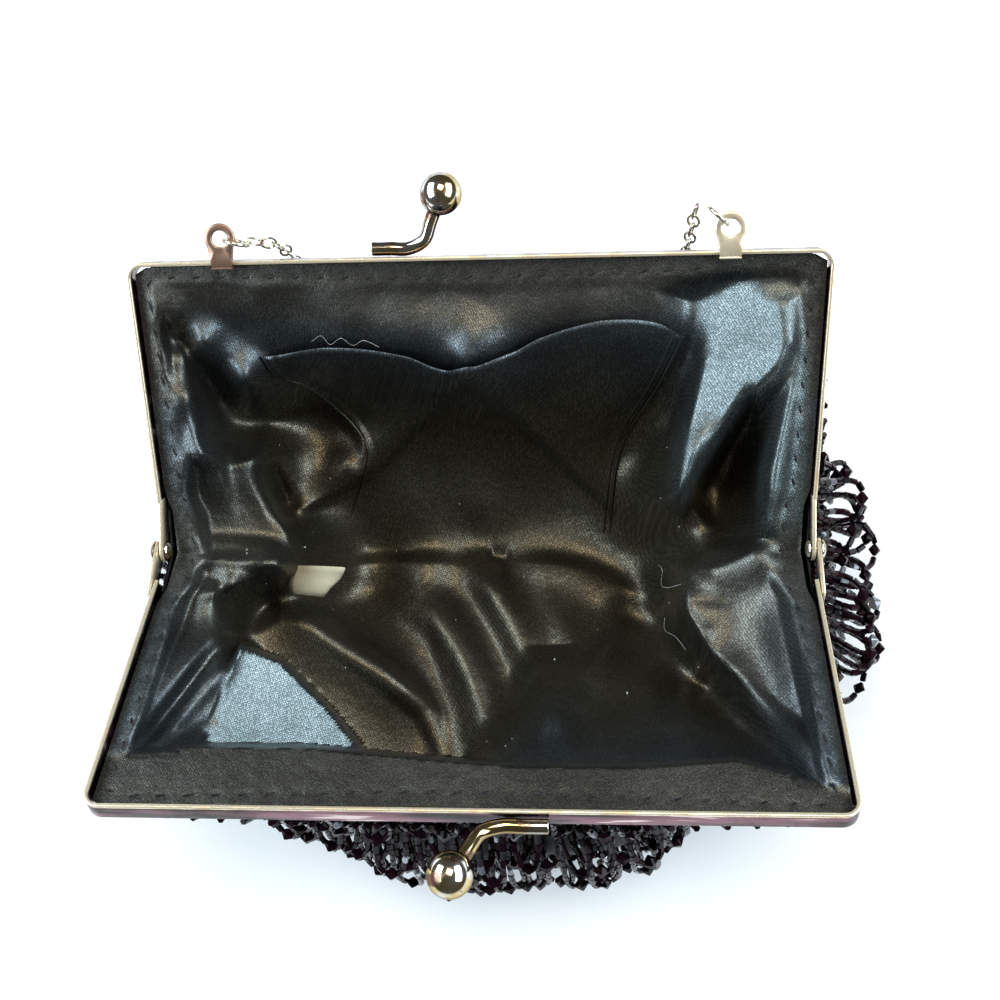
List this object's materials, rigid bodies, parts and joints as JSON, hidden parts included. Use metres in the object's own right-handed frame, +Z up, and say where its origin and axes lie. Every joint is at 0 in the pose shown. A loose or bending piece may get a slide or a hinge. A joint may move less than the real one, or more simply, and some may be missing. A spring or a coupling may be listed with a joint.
{
  "type": "beaded evening bag",
  "caption": "Small evening bag standing open: hinged metal clasp frame with ball fingers, satin body hung with rows of bead loops, satin lining with pocket, and a handle chain.",
  "frame": {"origin": "on the flat rest face of the bag's bottom, straight under the middle of the hinge", "axes": "+X along the hinge, +Y towards the back half that carries the chain, +Z up"},
  "size_m": [0.1983, 0.1945, 0.1191],
  "materials": {
    "frame_metal": "polished, warm nickel",
    "chain_metal": "polished",
    "outer_satin": "satin weave",
    "lining_satin": "satin weave, glossy",
    "label_ribbon": "plain woven ribbon",
    "beads": "glossy, near-black plum"
  },
  "bodies": {
    "root": {"frame_back": "frame_metal", "frame_front": "frame_metal", "clasp_back": "frame_metal", "clasp_front": "frame_metal", "hinge_rivet_left": "frame_metal", "hinge_rivet_right": "frame_metal", "chain_tab_left": "frame_metal", "chain_tab_right": "frame_metal", "jump_ring_left": "chain_metal", "jump_ring_right": "chain_metal", "chain": "chain_metal", "bag_body": "outer_satin", "bead_fringe_1": "beads", "bead_fringe_2": "beads", "bead_fringe_3": "beads", "bead_fringe_4": "beads", "lining": "lining_satin", "pocket": "lining_satin", "care_label": "label_ribbon"}
  },
  "joints": []
}
